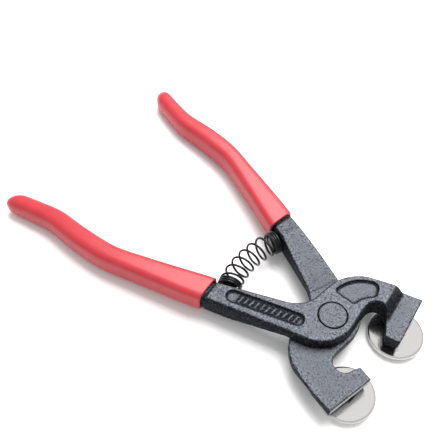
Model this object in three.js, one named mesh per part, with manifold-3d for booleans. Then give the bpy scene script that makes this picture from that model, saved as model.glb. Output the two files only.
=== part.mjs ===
// Wheeled mosaic glass nippers, standing open on their return spring.
// Two forged levers cross at a riveted lap joint. Each carries a round cutter wheel under its jaw, held by
// a countersunk socket screw, and a dipped vinyl grip on its tang. A coil spring between the handles opens
// the jaws. Millimetres, +Z up, the pivot axis upright, the jaws towards +X, the tool lying on its wheels.

import * as THREE from "three";
import { mergeVertices } from "three/addons/utils/BufferGeometryUtils.js";
import Module from "manifold-3d";

const wasm = await Module();
wasm.setup();

// ---- driving dimensions ----------------------------------------------------------------------------

// lap joint and pivot
const plateThickness = 4.3; // each lever's plate at the lap
const lapGap = 0.3; // between the two plates
const lapClearance = 0.5; // sideways, where one lever is relieved round the other
const rivetRadius = 3.5;
const rivetBoreClearance = 0.3;
const rivetHeadRadius = 5.7;
const rivetHeadHeight = 1.5;
const rivetHeadProud = 0.35; // how far the head stands above the plate
const rivetHeadClearance = 0.3;

// lever plan, open, with the pivot at the origin
const mouthX = -45.2; // where the steel goes into the grip
const mouthInnerY = -18.8;
const mouthOuterY = -29;
const heelX = -17; // the inner edge turns into the neck here
const heelY = -6.2;
const neckLeft = -10.5; // back edge of the neck
const neckLeftTop = 10.4;
const shoulder = new THREE.Vector2(2.5, 26.4); // where the neck meets the jaw's outer edge
const upperJawCorner = new THREE.Vector2(22.6, 33.3); // outer end of each jaw's front face
const lowerJawCorner = new THREE.Vector2(22, 31.1);
const jawTipFront = new THREE.Vector2(26.2, 10.2);
const jawTipInner = new THREE.Vector2(20.1, 8.7);
const throatRadius = 4.3;
const upperThroatCentre = new THREE.Vector2(12.6, 13.2);
const lowerThroatCentre = new THREE.Vector2(14.3, 11.3);
const upperBossReach = 9.6; // boss edge on the jaw side
const lowerBossReach = 11;
const bossOuter = new THREE.Vector2(-3.3, -16.5); // boss meets the handle's outer edge
const outlineSteps = 7;

// lever height
const jawDepth = 8.2; // underside of the jaw block, below the lap plane
const stepSetback = 8.6; // foot of the step, behind the jaw's front face
const stepRun = 3; // how far the step's face slopes back, up to the plate's top
const neckStepSetback = 12.5; // underside step where the neck thickens into the jaw block
const neckStepRun = 1.5;
const lapBack = 4; // behind the pivot, where the lower jaw's flat top begins
const rampStart = 15; // along the handle, from the pivot
const rampEnd = 42;
const rampLead = 2; // the cut for the lap begins this far ahead of the pivot
const mouthOverrun = 3; // the handle's fall runs on this far inside the grip
const handleHalfHeight = 4.9;
const mouthHalfHeight = 4.3;
const topDraft = 1.1; // how far the walls round in from the parting plane up to the top
const bottomDraft = 1.5; // and down to the underside
const outerLean = 2.2; // extra lean of the jaw's outer wall, down to the underside

// recesses in the upper lever's face
const recessDepth = 1;
const slotRadius = 2.9;
const slotFrom = new THREE.Vector2(-35.3, -19.9);
const slotTo = new THREE.Vector2(-9.4, -10.9);
const ribCount = 11;
const ribWidth = 0.9;
const ribLength = 3.4;
const ribHeight = 0.5;
const ribSlant = 0.35;
const ribMargin = 3.4; // from the slot's end centre to the first rib

// cutter wheels and their screws
const wheelRadius = 11.5;
const wheelThickness = 2.8;
const wheelRim = 1.3; // upright part of the rim, above its bevel
const wheelEdge = 0.15;
const wheelX = 21.3;
const wheelY = 17.6;
const wheelSeatGap = 0.2;
const screwRadius = 2.4;
const screwHeadRadius = 4.6;
const screwLength = 8.6;
const screwClearance = 0.25;
const screwSink = 0.1; // the head sits this far inside the wheel's face
const socketRadius = 1.7;
const socketDepth = 1.5;

// grips
const gripReach = 146.8; // from the pivot to the grip's end
const gripWall = 1.2;
const gripFit = 0.3;
const gripMouthHalfWidth = 6.5;
const gripMidHalfWidth = 5.1;
const gripTipHalfWidth = 4.7;
const gripMouthHalfHeight = 5.5;
const gripMidHalfHeight = 6;
const gripTipHalfHeight = 5.2;
const gripMouthSquareness = 4.2; // exponent of the section: 2 is an oval, more is squarer
const gripMidSquareness = 3.1;
const gripTipSquareness = 2.4;
const gripDome = 7; // length of the rounded end
const gripMouthSlant = 0.13;
const tangEndX = -122;
const tangLead = 1.4; // the tang starts this far inside the handle

// return spring and its pegs
const springRadius = 4.7; // to the middle of the wire
const wireRadius = 0.5;
const closedTurns = 3; // at each end
const openTurns = 6;
const springBaseX = -40.6; // on the handle's inner edge
const springSeatGap = 0.3;
const springPegClearance = 0.95;
const pegLength = 4.2;
const pegEdge = 0.8;
const pegStemRadius = 1.6;
const pegStemLength = 3.2;

const pegRadius = springRadius - wireRadius - springPegClearance;

const lapTop = lapGap / 2;
const farBelow = -30;
const farAbove = 30;
const farOut = 80;

// ---- materials -------------------------------------------------------------------------------------

const enamel = new THREE.MeshStandardMaterial({ color: 0x23272b, roughness: 0.42, metalness: 0.3 });
const vinyl = new THREE.MeshStandardMaterial({ color: 0xd8383f, roughness: 0.35, metalness: 0 });
const springSteel = new THREE.MeshStandardMaterial({ color: 0x151617, roughness: 0.4, metalness: 0.8 });
const polishedSteel = new THREE.MeshStandardMaterial({ color: 0xd9d6d2, roughness: 0.12, metalness: 1 });
const screwSteel = new THREE.MeshStandardMaterial({ color: 0x2a2b2d, roughness: 0.35, metalness: 0.9 });

// ---- solids ----------------------------------------------------------------------------------------

// A closed three.js geometry as a solid that can be joined and cut.
function solidOf(geometry) {
  const bare = geometry.clone();
  bare.deleteAttribute("normal");
  bare.deleteAttribute("uv");
  const merged = mergeVertices(bare, 1e-4);
  const corners = merged.index.array;
  const triVerts = [];
  for (let i = 0; i < corners.length; i += 3) {
    const [a, b, c] = corners.slice(i, i + 3);
    if (a !== b && b !== c && c !== a) triVerts.push(a, b, c);
  }
  return new wasm.Manifold(
    new wasm.Mesh({
      numProp: 3,
      vertProperties: merged.attributes.position.array,
      triVerts: new Uint32Array(triVerts),
    }),
  );
}

function geometryOf(solid) {
  const mesh = solid.getMesh();
  const geometry = new THREE.BufferGeometry();
  geometry.setAttribute("position", new THREE.BufferAttribute(mesh.vertProperties, 3));
  geometry.setIndex(new THREE.BufferAttribute(mesh.triVerts, 1));
  geometry.computeVertexNormals();
  return geometry;
}

function join(first, ...others) {
  return others.reduce((sum, other) => sum.add(other), first);
}

function cut(first, ...others) {
  return others.reduce((rest, other) => rest.subtract(other), first);
}

// A plan outline raised between two heights, and grown outwards by grow.
function slab(plan, bottom, top, grow = 0) {
  const rim = grow ? 0.01 : 0;
  const geometry = new THREE.ExtrudeGeometry(plan, {
    depth: top - bottom - 2 * rim,
    bevelEnabled: rim > 0,
    bevelThickness: rim,
    bevelSize: 0,
    bevelOffset: grow,
    bevelSegments: 1,
    curveSegments: outlineSteps,
  });
  return geometry.translate(0, 0, bottom + rim);
}

// A forging's blank: full size at the parting plane, z = 0, with walls that round in to its top and its
// underside.
function forgedBlank(plan, bottom, top) {
  const halves = [[top, topDraft], [-bottom, bottomDraft]].map(([reach, draft]) => {
    const land = 0.02;
    const geometry = new THREE.ExtrudeGeometry(plan, {
      depth: land,
      bevelEnabled: true,
      bevelThickness: reach - land / 2,
      bevelSize: draft,
      bevelOffset: -draft,
      bevelSegments: 3,
      curveSegments: outlineSteps,
    });
    return solidOf(geometry.translate(0, 0, -land / 2));
  });
  return join(halves[0].trimByPlane([0, 0, 1], 0), halves[1].trimByPlane([0, 0, -1], 0));
}

// A side profile, drawn as distance along a heading and height, carried right across the tool.
function acrossTool(profile, heading) {
  const geometry = new THREE.ExtrudeGeometry(profile, {
    depth: 2 * farOut,
    bevelEnabled: false,
    curveSegments: outlineSteps,
  });
  return geometry
    .translate(0, 0, -farOut)
    .rotateX(Math.PI / 2)
    .rotateZ(heading);
}

// A solid of revolution about Z from [radius, height] pairs, listed anticlockwise from the axis.
function turned(profile, segments = 40) {
  const points = profile.map(([radius, height]) => new THREE.Vector2(radius, height));
  return new THREE.LatheGeometry(points, segments).rotateX(Math.PI / 2);
}

// Points of a plan mirrored to the side of the tool that side names, +1 or -1.
function onSide(points, side) {
  return points.map((point) => new THREE.Vector2(point.x, side * point.y));
}

// ---- lever forging ---------------------------------------------------------------------------------

// A jaw's outer corner, the heading that its front face looks along, and the face's distance from the pivot.
function jawOf(side) {
  const corner = side > 0 ? upperJawCorner : lowerJawCorner;
  const heading = Math.atan2(corner.y - jawTipFront.y, corner.x - jawTipFront.x) - Math.PI / 2;
  const front = jawTipFront.x * Math.cos(heading) + jawTipFront.y * Math.sin(heading);
  return { corner, heading, front };
}

// The plan shared by both levers: handle, neck, jaw, throat and boss, in the open position.
function leverPlan(side) {
  const throatCentre = side > 0 ? upperThroatCentre : lowerThroatCentre;
  const bossReach = side > 0 ? upperBossReach : lowerBossReach;
  const { corner } = jawOf(side);
  const plan = new THREE.Shape();
  plan.moveTo(mouthX, mouthInnerY);
  plan.lineTo(heelX, heelY);
  plan.quadraticCurveTo(neckLeft - 0.6, -2.9, neckLeft, 3.2);
  plan.lineTo(neckLeft + 0.7, neckLeftTop);
  const neckPull = new THREE.Vector2(neckLeft + 1.4, neckLeftTop + 8);
  const shoulderPull = new THREE.Vector2(shoulder.x - 5.7, shoulder.y - 1.5);
  plan.bezierCurveTo(neckPull.x, neckPull.y, shoulderPull.x, shoulderPull.y, shoulder.x, shoulder.y);
  plan.quadraticCurveTo(shoulder.x + 7, shoulder.y + 3, corner.x, corner.y);
  plan.lineTo(jawTipFront.x, jawTipFront.y);
  plan.lineTo(jawTipInner.x, jawTipInner.y);
  plan.absarc(throatCentre.x, throatCentre.y, throatRadius, 0.2, Math.PI, false);
  plan.bezierCurveTo(throatCentre.x - throatRadius, 7, bossReach + 0.1, 3.5, bossReach, -1);
  plan.bezierCurveTo(bossReach - 0.2, -8.5, bossOuter.x + 8, bossOuter.y + 1.8, bossOuter.x, bossOuter.y);
  plan.quadraticCurveTo(bossOuter.x - 2.6, bossOuter.y - 0.6, bossOuter.x - 6, bossOuter.y - 1.6);
  plan.lineTo(mouthX + 1.2, mouthOuterY);
  return new THREE.Shape(onSide(plan.getPoints(outlineSteps), side));
}

const handleSlope = Math.atan2(slotTo.y - slotFrom.y, slotTo.x - slotFrom.x);
const mouthDistance = -mouthX / Math.cos(handleSlope) + mouthOverrun;

// What is taken off one face of the handle: flat over the lap, then a ramp out to the full handle height,
// then a gentle fall to the grip's mouth. facing is +1 for the upper face and -1 for the underside.
function handleRamp(side, facing) {
  const profile = new THREE.Shape();
  profile.moveTo(-rampLead, facing * -lapTop);
  profile.lineTo(rampStart, facing * -lapTop);
  profile.lineTo(rampEnd, facing * handleHalfHeight);
  profile.lineTo(mouthDistance, facing * mouthHalfHeight);
  profile.lineTo(farOut, facing * mouthHalfHeight);
  profile.lineTo(farOut, facing * farAbove);
  profile.lineTo(-rampLead, facing * farAbove);
  return solidOf(acrossTool(profile, Math.PI + side * handleSlope));
}

// The other face of the handle: full height, then the same fall to the grip's mouth.
function mouthFall(side, facing) {
  const profile = new THREE.Shape();
  profile.moveTo(rampEnd, facing * handleHalfHeight);
  profile.lineTo(mouthDistance, facing * mouthHalfHeight);
  profile.lineTo(farOut, facing * mouthHalfHeight);
  profile.lineTo(farOut, facing * farAbove);
  profile.lineTo(rampEnd, facing * farAbove);
  return solidOf(acrossTool(profile, Math.PI + side * handleSlope));
}

// Everything ahead of a line parallel to the jaw's front face, above or below a height.
function aheadOfLine(side, setback, run, height, limit) {
  const { heading, front } = jawOf(side);
  const foot = front - setback;
  const profile = new THREE.Shape();
  profile.moveTo(foot, height);
  profile.lineTo(farOut, height);
  profile.lineTo(farOut, limit);
  profile.lineTo(foot - (run * (limit - height)) / plateThickness, limit);
  return solidOf(acrossTool(profile, side * heading));
}

// Everything behind a line parallel to the jaw's front face, below the plate.
function behindLine(side, setback, run, height) {
  const { heading, front } = jawOf(side);
  const foot = front - setback;
  const profile = new THREE.Shape();
  profile.moveTo(foot, height);
  profile.lineTo(foot + run, -jawDepth);
  profile.lineTo(foot + run, farBelow);
  profile.lineTo(-farOut, farBelow);
  profile.lineTo(-farOut, height);
  return solidOf(acrossTool(profile, side * heading));
}

// What the lean takes off the jaw's outer wall, from the lap plane down.
function outerWallLean(side) {
  const { corner } = jawOf(side);
  const heading = Math.atan2(corner.y - shoulder.y, corner.x - shoulder.x) + Math.PI / 2;
  const bulge = 0.8;
  const wall = corner.x * Math.cos(heading) + corner.y * Math.sin(heading) + bulge;
  const profile = new THREE.Shape();
  profile.moveTo(wall, -lapTop);
  profile.lineTo(wall - outerLean, -jawDepth);
  profile.lineTo(wall - outerLean, farBelow);
  profile.lineTo(farOut, farBelow);
  profile.lineTo(farOut, -lapTop);
  return solidOf(acrossTool(profile, side * heading));
}

// ---- grips and tangs -------------------------------------------------------------------------------

const gripMouthCentreY = (mouthInnerY + mouthOuterY) / 2;
const gripLine = new THREE.SplineCurve([
  new THREE.Vector2(mouthX, gripMouthCentreY),
  new THREE.Vector2(-60, -29.3),
  new THREE.Vector2(-75, -34.6),
  new THREE.Vector2(-90, -39.4),
  new THREE.Vector2(-106, -41.2),
  new THREE.Vector2(-121, -41.7),
  new THREE.Vector2(-133, -44.4),
  new THREE.Vector2(-gripReach, -48.4),
]);

// A size at a share of the grip's length, from its values at the mouth, the middle and the tip.
function along(share, mouth, middle, tip) {
  const early = THREE.MathUtils.smoothstep(share, 0, 0.45);
  const late = THREE.MathUtils.smoothstep(share, 0.5, 1);
  return mouth + (middle - mouth) * early + (tip - middle) * late;
}

// A rounded bar along the grip line, from one x to another, inset by a wall from the grip's surface.
// It starts as a turned unit blank whose axis is the share of the line.
function gripBar(side, fromX, toX, inset, dome) {
  const stations = 15;
  const profile = [[0, 0]];
  for (let i = 0; i <= stations; i++) profile.push([1, i / stations]);
  for (let i = 1; i <= 4; i++) {
    const angle = (i / 4) * (Math.PI / 2);
    profile.push([Math.cos(angle), 1 + Math.sin(angle)]);
  }
  profile[profile.length - 1][0] = 0;
  const geometry = turned(profile, 18);
  const position = geometry.attributes.position;
  const full = mouthX + gripReach;
  for (let i = 0; i < position.count; i++) {
    const share = position.getZ(i);
    const straight = Math.min(share, 1);
    const x = fromX + (toX + dome - fromX) * straight - dome * Math.max(share - 1, 0);
    const u = THREE.MathUtils.clamp((mouthX - x) / full, 0, 1);
    const centre = gripLine.getPoint(lineParameter(x));
    const halfWidth = along(u, gripMouthHalfWidth, gripMidHalfWidth, gripTipHalfWidth) - inset;
    const halfHeight = along(u, gripMouthHalfHeight, gripMidHalfHeight, gripTipHalfHeight) - inset;
    const squareness = along(u, gripMouthSquareness, gripMidSquareness, gripTipSquareness);
    const [across, up] = squared(position.getX(i), position.getY(i), squareness);
    const slant = gripMouthSlant * (1 - THREE.MathUtils.smoothstep(u, 0, 0.2));
    const outward = across * halfWidth;
    position.setXYZ(i, x + slant * -outward, side * (centre.y + outward), up * halfHeight);
  }
  if (side > 0) flip(geometry);
  return solidOf(geometry);
}

// The grip line's parameter where it crosses an x, by halving.
function lineParameter(x) {
  let low = 0;
  let high = 1;
  for (let i = 0; i < 30; i++) {
    const middle = (low + high) / 2;
    if (gripLine.getPoint(middle).x > x) low = middle;
    else high = middle;
  }
  return low;
}

// A point in the unit disc moved out towards a rounded square of the same width.
function squared(x, y, squareness) {
  const radius = Math.hypot(x, y);
  if (radius < 1e-6) return [0, 0];
  const cosine = x / radius;
  const sine = y / radius;
  const stretch = (Math.abs(cosine) ** squareness + Math.abs(sine) ** squareness) ** (-1 / squareness);
  return [cosine * stretch * radius, sine * stretch * radius];
}

// Turns every face of a geometry round, after a mapping that mirrors it.
function flip(geometry) {
  const corners = geometry.index.array;
  for (let i = 0; i < corners.length; i += 3) {
    const swapped = corners[i + 1];
    corners[i + 1] = corners[i + 2];
    corners[i + 2] = swapped;
  }
}

function grip(side) {
  const skin = gripBar(side, mouthX, -gripReach, 0, gripDome);
  const hollow = gripBar(side, mouthX + 4, tangEndX - 2, gripWall, 2);
  return cut(skin, hollow);
}

function tang(side) {
  return gripBar(side, mouthX + tangLead, tangEndX, gripWall + gripFit, 2);
}

// ---- spring and pegs -------------------------------------------------------------------------------

const innerEdgeSlope = Math.atan2(heelY - mouthInnerY, heelX - mouthX);
const springBaseY = mouthInnerY + Math.tan(innerEdgeSlope) * (springBaseX - mouthX);

// A blank that stands on Z, moved onto the handle's inner edge and turned to point away from it.
function onInnerEdge(geometry, side) {
  return geometry
    .rotateX(-Math.PI / 2)
    .rotateZ(innerEdgeSlope)
    .translate(springBaseX, springBaseY, 0)
    .rotateX(side > 0 ? 0 : Math.PI);
}

function pegBlank() {
  return turned([
    [0, -pegStemLength],
    [pegStemRadius, -pegStemLength],
    [pegStemRadius, springSeatGap],
    [pegRadius, springSeatGap],
    [pegRadius, pegLength - pegEdge],
    [pegRadius - pegEdge, pegLength],
    [0, pegLength],
  ], 24);
}

function pegHole(side) {
  const radius = pegStemRadius + springSeatGap;
  const depth = pegStemLength + springSeatGap;
  return solidOf(onInnerEdge(turned([[0, -depth], [radius, -depth], [radius, 3], [0, 3]], 24), side));
}

// The spring's wire: close turns at both ends and open turns between, wound round an arc that leaves each
// handle square to its inner edge.
class SpringWire extends THREE.Curve {
  constructor() {
    super();
    const lift = springSeatGap + wireRadius;
    const halfChord = -springBaseY;
    this.bend = innerEdgeSlope;
    this.arcRadius = halfChord / Math.sin(this.bend);
    this.centreX = springBaseX + this.arcRadius * Math.cos(this.bend);
    this.startAngle = this.bend - lift / this.arcRadius;
    this.length = 2 * this.startAngle * this.arcRadius;
  }
  // Distance along the spring's axis after a number of turns.
  advance(turns) {
    const closePitch = 2.06 * wireRadius;
    const closed = closedTurns * closePitch;
    const openPitch = (this.length - 2 * closed) / openTurns;
    if (turns < closedTurns) return turns * closePitch;
    if (turns < closedTurns + openTurns) return closed + (turns - closedTurns) * openPitch;
    return closed + openTurns * openPitch + (turns - closedTurns - openTurns) * closePitch;
  }
  getPoint(t, target = new THREE.Vector3()) {
    const turns = t * (2 * closedTurns + openTurns);
    const angle = this.startAngle - this.advance(turns) / this.arcRadius;
    const around = turns * 2 * Math.PI;
    const radius = this.arcRadius + springRadius * Math.cos(around);
    const x = this.centreX - radius * Math.cos(angle);
    return target.set(x, -radius * Math.sin(angle), springRadius * Math.sin(around));
  }
}

function spring() {
  const section = new THREE.Shape();
  section.absarc(0, 0, wireRadius, 0, 2 * Math.PI, false);
  const turns = 2 * closedTurns + openTurns;
  return new THREE.ExtrudeGeometry(section, {
    steps: turns * 12,
    curveSegments: 3,
    extrudePath: new SpringWire(),
  });
}

// ---- wheels, screws and rivet ----------------------------------------------------------------------

const wheelTop = -jawDepth - wheelSeatGap;
const wheelBottom = wheelTop - wheelThickness;
const headDepth = screwHeadRadius - screwRadius;

// A flat disc with a bevelled rim and a countersunk bore that fits the screw.
function wheelBlank() {
  const bore = screwRadius + screwClearance;
  const sink = screwHeadRadius + screwClearance;
  const rimBevel = wheelThickness - wheelRim;
  return turned([
    [bore, wheelTop],
    [bore, wheelBottom + headDepth],
    [sink, wheelBottom],
    [wheelRadius - rimBevel, wheelBottom],
    [wheelRadius, wheelTop - wheelRim],
    [wheelRadius, wheelTop - wheelEdge],
    [wheelRadius - wheelEdge, wheelTop],
    [bore, wheelTop],
  ], 56);
}

function screwBlank() {
  const bottom = wheelBottom + screwSink;
  const body = turned([
    [0, bottom],
    [screwHeadRadius - screwSink, bottom],
    [screwRadius, bottom + headDepth],
    [screwRadius, bottom + screwLength],
    [0, bottom + screwLength],
  ], 32);
  const socket = new THREE.CylinderGeometry(socketRadius, socketRadius, 2 * socketDepth, 6);
  socket.rotateX(Math.PI / 2).translate(0, 0, bottom);
  return cut(solidOf(body), solidOf(socket));
}

function screwHole(side) {
  const radius = screwRadius + screwClearance;
  const top = wheelBottom + screwLength + 2 * screwClearance;
  const hole = turned([[0, farBelow], [radius, farBelow], [radius, top], [0, top]], 32);
  return solidOf(hole.translate(wheelX, side * wheelY, 0));
}

const headTop = plateThickness + lapTop + rivetHeadProud;
const headSeat = headTop - rivetHeadHeight;

// Both heads are crowned: their faces drop a little towards the edge.
function rivet() {
  const crown = [[0.7, 0.06], [0.93, 0.18], [1, 0.5]].map(([share, drop]) => [share * rivetHeadRadius, drop]);
  return turned([
    [0, -headTop],
    ...crown.map(([radius, drop]) => [radius, drop - headTop]),
    [rivetHeadRadius, -headSeat],
    [rivetRadius, -headSeat],
    [rivetRadius, headSeat],
    [rivetHeadRadius, headSeat],
    ...crown.reverse().map(([radius, drop]) => [radius, headTop - drop]),
    [0, headTop],
  ], 32);
}

// Bore and counterbore for the rivet, in the lever whose outer face is on the side that facing names.
function rivetHole(facing) {
  const bore = rivetRadius + rivetBoreClearance;
  const sink = rivetHeadRadius + rivetHeadClearance;
  const floor = headSeat - rivetHeadClearance;
  const hole = turned([
    [0, farBelow],
    [bore, farBelow],
    [bore, floor],
    [sink, floor],
    [sink, farAbove],
    [0, farAbove],
  ], 32);
  if (facing < 0) hole.rotateX(Math.PI);
  return solidOf(hole);
}

// ---- recesses --------------------------------------------------------------------------------------

// A round-ended slot along the handle.
function slotPlan() {
  const direction = handleSlope;
  const plan = new THREE.Shape();
  plan.absarc(slotTo.x, slotTo.y, slotRadius, direction - Math.PI / 2, direction + Math.PI / 2, false);
  plan.absarc(slotFrom.x, slotFrom.y, slotRadius, direction + Math.PI / 2, direction + 1.5 * Math.PI, false);
  return plan;
}

// A fan between the rivet and the neck's outer curve.
function fanPlan() {
  const plan = new THREE.Shape();
  plan.moveTo(-4.2, 9.7);
  plan.quadraticCurveTo(-6.4, 9.9, -6.1, 11.6);
  plan.bezierCurveTo(-5.4, 16.4, -2.5, 21.5, 3, 23.8);
  plan.quadraticCurveTo(5.6, 24.7, 6.7, 23);
  plan.lineTo(8, 20.2);
  plan.quadraticCurveTo(8.5, 18.6, 7.2, 17.3);
  plan.quadraticCurveTo(4.2, 14.6, 3.9, 11);
  plan.quadraticCurveTo(3.8, 9.9, 2.2, 9.8);
  return plan;
}

// Slanted raised bars in the slot, a plain grip pattern.
function ribs() {
  const run = slotFrom.distanceTo(slotTo) - 2 * ribMargin + slotRadius;
  const floor = plateThickness + lapTop - recessDepth;
  const bars = [];
  for (let i = 0; i < ribCount; i++) {
    const distance = ribMargin + (i / (ribCount - 1)) * run;
    const centre = slotFrom.clone().lerp(slotTo, distance / slotFrom.distanceTo(slotTo));
    const bar = new THREE.BoxGeometry(ribWidth, ribLength, 2 * ribHeight);
    bar.rotateZ(handleSlope - ribSlant).translate(centre.x, centre.y, floor);
    bars.push(solidOf(bar));
  }
  return bars;
}

// ---- levers ----------------------------------------------------------------------------------------

// The upper lever: its plate lies over the lap, and beyond a step the jaw block drops to the wheels.
function upperLever() {
  const side = 1;
  const top = plateThickness + lapTop;
  const recessFloor = top - recessDepth;
  const blank = forgedBlank(leverPlan(side), -jawDepth, top);
  const partner = solidOf(slab(leverPlan(-side), farBelow, lapTop, lapClearance));
  const forged = cut(
    blank,
    partner,
    handleRamp(side, -1),
    mouthFall(side, 1),
    aheadOfLine(side, stepSetback, stepRun, -lapTop, farAbove),
    behindLine(side, neckStepSetback, neckStepRun, -plateThickness - lapTop),
    outerWallLean(side),
    rivetHole(1),
    solidOf(slab(slotPlan(), recessFloor, farAbove)),
    solidOf(slab(fanPlan(), recessFloor, farAbove)),
  );
  return join(forged, ...ribs());
}

// The lower lever: its plate lies under the lap and runs level into the jaw block.
function lowerLever() {
  const side = -1;
  const blank = forgedBlank(leverPlan(side), -jawDepth, handleHalfHeight);
  const partner = solidOf(slab(leverPlan(-side), -lapTop, farAbove, lapClearance));
  return cut(
    blank,
    partner,
    handleRamp(side, 1),
    mouthFall(side, -1),
    aheadOfLine(side, jawOf(side).front + lapBack, 0, -lapTop, farAbove),
    behindLine(side, neckStepSetback, neckStepRun, -plateThickness - lapTop),
    outerWallLean(side),
    rivetHole(-1),
  );
}

// Finishing that both levers take: the tang added, and the holes for the peg and the wheel's screw.
function finished(lever, side) {
  return cut(join(lever, tang(side)), pegHole(side), screwHole(side));
}

// ---- assembly --------------------------------------------------------------------------------------

function part(name, geometry, material) {
  const mesh = new THREE.Mesh(geometry, material);
  mesh.name = name;
  return mesh;
}

const nippers = new THREE.Group();
nippers.add(
  part("upper_lever", geometryOf(finished(upperLever(), 1)), enamel),
  part("lower_lever", geometryOf(finished(lowerLever(), -1)), enamel),
  part("pivot_rivet", rivet(), enamel),
  part("return_spring", spring(), springSteel),
);

for (const [word, side] of [["upper", 1], ["lower", -1]]) {
  nippers.add(part("grip_" + word, geometryOf(grip(side)), vinyl));
  nippers.add(part("spring_peg_" + word, onInnerEdge(pegBlank(), side), springSteel));
  const wheel = part("cutter_wheel_" + word, wheelBlank(), polishedSteel);
  const screw = part("wheel_screw_" + word, geometryOf(screwBlank()), screwSteel);
  const seat = new THREE.Group();
  seat.position.set(wheelX, side * wheelY, 0);
  seat.add(wheel, screw);
  nippers.add(seat);
}

// The origin goes to the middle of the footprint, on the surface that the tool lies on.
const box = new THREE.Box3().setFromObject(nippers);
const middle = box.getCenter(new THREE.Vector3());
nippers.position.set(-middle.x, -middle.y, -box.min.z);

export default nippers;
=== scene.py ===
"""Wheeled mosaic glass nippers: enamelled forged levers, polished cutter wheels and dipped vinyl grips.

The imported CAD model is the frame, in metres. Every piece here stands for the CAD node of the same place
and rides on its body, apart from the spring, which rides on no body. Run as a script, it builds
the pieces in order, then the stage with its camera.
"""

import math

import bmesh
import bpy
import numpy as np
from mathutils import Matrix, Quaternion, Vector


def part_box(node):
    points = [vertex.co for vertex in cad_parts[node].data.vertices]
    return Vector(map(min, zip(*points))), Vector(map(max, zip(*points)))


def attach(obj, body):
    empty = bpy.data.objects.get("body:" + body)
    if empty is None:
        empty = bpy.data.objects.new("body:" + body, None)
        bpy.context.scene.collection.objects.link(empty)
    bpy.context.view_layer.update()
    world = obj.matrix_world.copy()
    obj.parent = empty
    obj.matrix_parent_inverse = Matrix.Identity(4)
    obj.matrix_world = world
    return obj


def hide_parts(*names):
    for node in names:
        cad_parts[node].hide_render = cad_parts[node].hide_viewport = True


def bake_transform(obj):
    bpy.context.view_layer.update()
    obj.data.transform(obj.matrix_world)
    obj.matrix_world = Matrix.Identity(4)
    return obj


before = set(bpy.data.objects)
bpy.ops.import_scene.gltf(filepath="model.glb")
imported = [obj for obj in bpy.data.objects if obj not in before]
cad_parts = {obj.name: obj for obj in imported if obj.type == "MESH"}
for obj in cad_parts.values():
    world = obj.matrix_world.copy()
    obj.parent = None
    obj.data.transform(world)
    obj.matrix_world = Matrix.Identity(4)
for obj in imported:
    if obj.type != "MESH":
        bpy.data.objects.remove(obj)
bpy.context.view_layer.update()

bl_info = {
    "name": "Mosaic Glass Nippers",
    "version": (1, 0, 0),
    "blender": (4, 5, 0),
    "location": "View3D > Sidebar > Nippers",
    "description": "Builds a pair of wheeled mosaic glass nippers round its CAD frame",
    "category": "Add Mesh",
}

# ---- measures ----------------------------------------------------------------------------------------

MM = 0.001

# The two sides of the tool: the word in a piece's name, and the sign of y at its jaw.
SIDES = (("upper", 1), ("lower", -1))


def centre_of(node):
    """The middle of a CAD node's box."""
    low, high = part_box(node)
    return (low + high) / 2


PIVOT = np.array(centre_of("pivot_rivet"))


def from_pivot(points):
    """Points in millimetres from the pivot, as metres in the frame."""
    return np.asarray(points, float) * MM + PIVOT


CAMERA_FROM = Vector(from_pivot((50.35, -123.51, 227.57)))
CAMERA_TO = Vector(from_pivot((-70.25, 14.03, -11.2)))
CAMERA_ROLL = math.radians(0.64)

# Where the two lamps hang, in metres from the frame's origin, and the length of the card's sides.
SOFTBOX_AT = (-0.09, 0.4, 0.8)
CARD_AT = (0.0, 0.45, 0.9)
CARD_SIDE = 0.5
FLOOR_HALF = 2.5

# Sizes in millimetres that the frame's boxes don't give.
JAW_START = 19
RIVET_SHANK = 3.5
RIVET_HEAD = 1.5
WHEEL_BORE = 2.65
WHEEL_SINK = 4.85
WHEEL_RIM = 1.3
WHEEL_BEVEL = 1.5


def linear(code):
    """An sRGB hex colour as linear red, green and blue, with an alpha of 1."""
    shares = [int(code[i : i + 2], 16) / 255 for i in (1, 3, 5)]
    return (*(s / 12.92 if s <= 0.04045 else ((s + 0.055) / 1.055) ** 2.4 for s in shares), 1.0)


# ---- mesh work ---------------------------------------------------------------------------------------


def grid_object(name, points, wrap=True):
    """A mesh over a grid of points, rows by columns: a quad between each two rows and two columns, with the
    last column joined to the first when it wraps. Doubles, as at a pole, are merged and normals face out."""
    rows, columns = points.shape[:2]
    index = np.arange(rows * columns).reshape(rows, columns)
    if wrap:
        index = np.concatenate([index, index[:, :1]], axis=1)
    quads = np.stack([index[:-1, :-1], index[:-1, 1:], index[1:, 1:], index[1:, :-1]], axis=-1)
    mesh = bpy.data.meshes.new(name)
    mesh.from_pydata(points.reshape(-1, 3).tolist(), [], quads.reshape(-1, 4).tolist())
    tidied(mesh, 1e-7)
    return shown(name, mesh)


def tidied(mesh, distance):
    """Merges a mesh's doubles and turns its faces outwards."""
    work = bmesh.new()
    work.from_mesh(mesh)
    bmesh.ops.remove_doubles(work, verts=work.verts, dist=distance)
    bmesh.ops.dissolve_degenerate(work, dist=distance, edges=work.edges)
    bmesh.ops.recalc_face_normals(work, faces=work.faces)
    work.to_mesh(mesh)
    work.free()


def shown(name, mesh):
    """A smooth-shaded object at the origin for a mesh."""
    mesh.shade_smooth()
    piece = bpy.data.objects.new(name, mesh)
    bpy.context.scene.collection.objects.link(piece)
    return piece


def positions(mesh):
    """A mesh's vertices as an array."""
    found = np.empty(len(mesh.vertices) * 3, np.float32)
    mesh.vertices.foreach_get("co", found)
    return found.reshape(-1, 3).astype(float)


def normals(mesh):
    """A mesh's vertex normals as an array."""
    found = np.empty(len(mesh.vertices) * 3, np.float32)
    mesh.vertex_normals.foreach_get("vector", found)
    return found.reshape(-1, 3).astype(float)


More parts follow.
